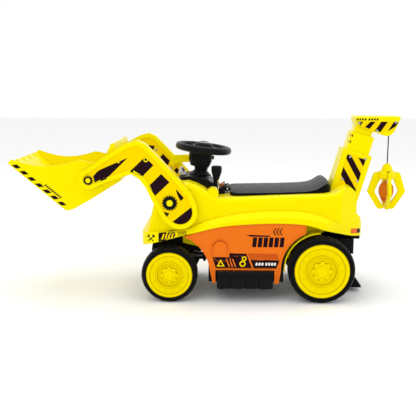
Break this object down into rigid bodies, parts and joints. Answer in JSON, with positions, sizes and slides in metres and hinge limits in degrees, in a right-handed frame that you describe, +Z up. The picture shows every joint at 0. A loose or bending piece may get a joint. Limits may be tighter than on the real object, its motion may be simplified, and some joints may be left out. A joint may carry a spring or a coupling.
{
  "type": "ride on digger",
  "caption": "Foot-to-floor ride-on digger toy with a tilting front bucket on lift arms, steerable front wheels, a lift-up seat over a bin and a rear crane with a hanging grab claw.",
  "frame": {"origin": "on the ground, in the middle of the object's bounding box in plan", "axes": "+Z up, +X from the bucket at the nose to the crane at the rear, +Y to the vehicle's right side"},
  "size_m": [1.038, 0.301, 0.474],
  "materials": {
    "body_yellow": "smooth injection-moulded plastic",
    "hub_yellow": "smooth injection-moulded plastic",
    "orange_plastic": "smooth injection-moulded plastic",
    "claw_orange": "smooth injection-moulded plastic",
    "black_plastic": "satin blow-moulded plastic",
    "tyre_black": "fine-grained hard plastic",
    "seat_black": "fine-grained hard plastic",
    "silver_plastic": "silver-tinted plastic",
    "cord_black": "twisted cord",
    "dark_metal": "black powder coat",
    "steel": "zinc plated"
  },
  "bodies": {
    "base": {"chassis": "black_plastic", "upper_shell": "body_yellow", "side_panel_left": "orange_plastic", "side_panel_right": "orange_plastic", "footstep_left": "black_plastic", "footstep_right": "black_plastic", "dash_console": "black_plastic", "instrument_panel": "silver_plastic", "control_box": "black_plastic", "storage_bin": "black_plastic", "seat_hinge_pin": "steel", "rear_axle": "dark_metal", "rear_lock_nuts": "steel", "rear_foot": "black_plastic", "column_shroud": "black_plastic", "column_boot": "black_plastic", "front_beam": "black_plastic", "mast_left": "body_yellow", "mast_right": "body_yellow", "mast_screws": "steel"},
    "steering": {"steering_wheel": "black_plastic", "steering_shaft": "dark_metal", "sound_module": "black_plastic"},
    "horn": {"horn_button": "orange_plastic"},
    "knuckle_l": {"knuckle_left": "dark_metal"},
    "knuckle_r": {"knuckle_right": "dark_metal"},
    "steering_tie": {"tie_rod": "dark_metal"},
    "wheel_fl": {"tyre_front_left": "tyre_black", "wheel_disc_front_left": "hub_yellow"},
    "wheel_fr": {"tyre_front_right": "tyre_black", "wheel_disc_front_right": "hub_yellow"},
    "wheel_rl": {"tyre_rear_left": "tyre_black", "wheel_disc_rear_left": "hub_yellow"},
    "wheel_rr": {"tyre_rear_right": "tyre_black", "wheel_disc_rear_right": "hub_yellow"},
    "loader": {"arm_left_outer": "body_yellow", "arm_left_inner": "body_yellow", "arm_right_outer": "body_yellow", "arm_right_inner": "body_yellow", "arm_screws": "steel", "lift_shaft": "steel", "pivot_caps": "black_plastic", "lift_lever": "body_yellow", "bucket_pins": "black_plastic"},
    "bucket_body": {"bucket": "body_yellow"},
    "seat": {"seat_lid": "seat_black"},
    "crane": {"mast_inner": "body_yellow", "jib_left": "body_yellow", "jib_right": "body_yellow", "jib_screws": "steel"},
    "cord_body": {"cord": "cord_black"},
    "claw": {"claw_hub": "body_yellow", "petal_pins": "steel"},
    "core": {"claw_core": "claw_orange"},
    "petal_1": {"claw_petal_1": "body_yellow"},
    "petal_2": {"claw_petal_2": "body_yellow"},
    "petal_3": {"claw_petal_3": "body_yellow"},
    "petal_4": {"claw_petal_4": "body_yellow"},
    "gear": {"gear_lever": "black_plastic"},
    "power": {"power_button": "orange_plastic"}
  },
  "joints": [
    {"name": "steer", "type": "hinge", "parent": "base", "child": "steering", "pos_m": [-0.0325, 0, 0.325], "axis": [0.1219, 0, 0.9925], "range_deg": [-20, 20]},
    {"name": "horn_press", "type": "slide", "parent": "steering", "child": "horn", "axis": [0.1219, 0, 0.9925], "range_m": [-0.0025, 0], "stiffness_N_per_m": 400},
    {"name": "kingpin_left", "type": "hinge", "parent": "base", "child": "knuckle_l", "pos_m": [-0.109, -0.08, 0.074], "axis": [0, 0, 1], "range_deg": [-20, 20]},
    {"name": "kingpin_right", "type": "hinge", "parent": "base", "child": "knuckle_r", "pos_m": [-0.109, 0.08, 0.074], "axis": [0, 0, 1], "range_deg": [-20, 20]},
    {"name": "tie_rod_pin", "type": "hinge", "parent": "knuckle_l", "child": "steering_tie", "pos_m": [-0.069, -0.08, 0.085], "axis": [0, 0, 1], "range_deg": [-20, 20]},
    {"name": "spin_fl", "type": "hinge", "parent": "knuckle_l", "child": "wheel_fl", "pos_m": [-0.109, -0.123, 0.073], "axis": [0, 1, 0], "continuous": true},
    {"name": "spin_fr", "type": "hinge", "parent": "knuckle_r", "child": "wheel_fr", "pos_m": [-0.109, 0.123, 0.073], "axis": [0, 1, 0], "continuous": true},
    {"name": "spin_rl", "type": "hinge", "parent": "base", "child": "wheel_rl", "pos_m": [0.283, -0.123, 0.086], "axis": [0, 1, 0], "continuous": true},
    {"name": "spin_rr", "type": "hinge", "parent": "base", "child": "wheel_rr", "pos_m": [0.283, 0.123, 0.086], "axis": [0, 1, 0], "continuous": true},
    {"name": "lift", "type": "hinge", "parent": "base", "child": "loader", "pos_m": [-0.106, 0, 0.261], "axis": [0, 1, 0], "range_deg": [-30, 15]},
    {"name": "bucket_tilt", "type": "hinge", "parent": "loader", "child": "bucket_body", "pos_m": [-0.312, 0, 0.318], "axis": [0, 1, 0], "range_deg": [-50, 25]},
    {"name": "seat_open", "type": "hinge", "parent": "base", "child": "seat", "pos_m": [0.04, 0, 0.281], "axis": [0, -1, 0], "range_deg": [0, 65]},
    {"name": "mast_slide", "type": "slide", "parent": "base", "child": "crane", "axis": [0.2756, 0, 0.9613], "range_m": [-0.04, 0]},
    {"name": "cord_swing", "type": "hinge", "parent": "crane", "child": "cord_body", "pos_m": [0.4695, 0, 0.4225], "axis": [0, 1, 0], "range_deg": [-35, 2]},
    {"name": "claw_swing", "type": "hinge", "parent": "cord_body", "child": "claw", "pos_m": [0.4695, 0, 0.348], "axis": [1, 0, 0], "range_deg": [-30, 30]},
    {"name": "claw_pull", "type": "slide", "parent": "claw", "child": "core", "axis": [0, 0, 1], "range_m": [0, 0.008]},
    {"name": "petal_hinge_1", "type": "hinge", "parent": "claw", "child": "petal_1", "pos_m": [0.4535, 0, 0.314], "axis": [0, 1, 0], "range_deg": [0, 18.1]},
    {"name": "petal_hinge_2", "type": "hinge", "parent": "claw", "child": "petal_2", "pos_m": [0.4695, -0.016, 0.314], "axis": [-1, 0, 0], "range_deg": [0, 18.1]},
    {"name": "petal_hinge_3", "type": "hinge", "parent": "claw", "child": "petal_3", "pos_m": [0.4855, 0, 0.314], "axis": [0, -1, 0], "range_deg": [0, 18.1]},
    {"name": "petal_hinge_4", "type": "hinge", "parent": "claw", "child": "petal_4", "pos_m": [0.4695, 0.016, 0.314], "axis": [1, 0, 0], "range_deg": [0, 18.1]},
    {"name": "gear_shift", "type": "hinge", "parent": "base", "child": "gear", "pos_m": [0.008, -0.04, 0.283], "axis": [0, 1, 0], "range_deg": [-15, 15]},
    {"name": "power_press", "type": "slide", "parent": "base", "child": "power", "axis": [0, 0, 1], "range_m": [-0.002, 0], "stiffness_N_per_m": 300}
  ],
  "couplings": [
    {"joint": "kingpin_left", "follows": "steer", "ratio": 1},
    {"joint": "kingpin_right", "follows": "steer", "ratio": 1},
    {"joint": "tie_rod_pin", "follows": "steer", "ratio": -1},
    {"joint": "petal_hinge_1", "follows": "claw_pull", "rad_per_m": 39.27},
    {"joint": "petal_hinge_2", "follows": "claw_pull", "rad_per_m": 39.27},
    {"joint": "petal_hinge_3", "follows": "claw_pull", "rad_per_m": 39.27},
    {"joint": "petal_hinge_4", "follows": "claw_pull", "rad_per_m": 39.27}
  ]
}
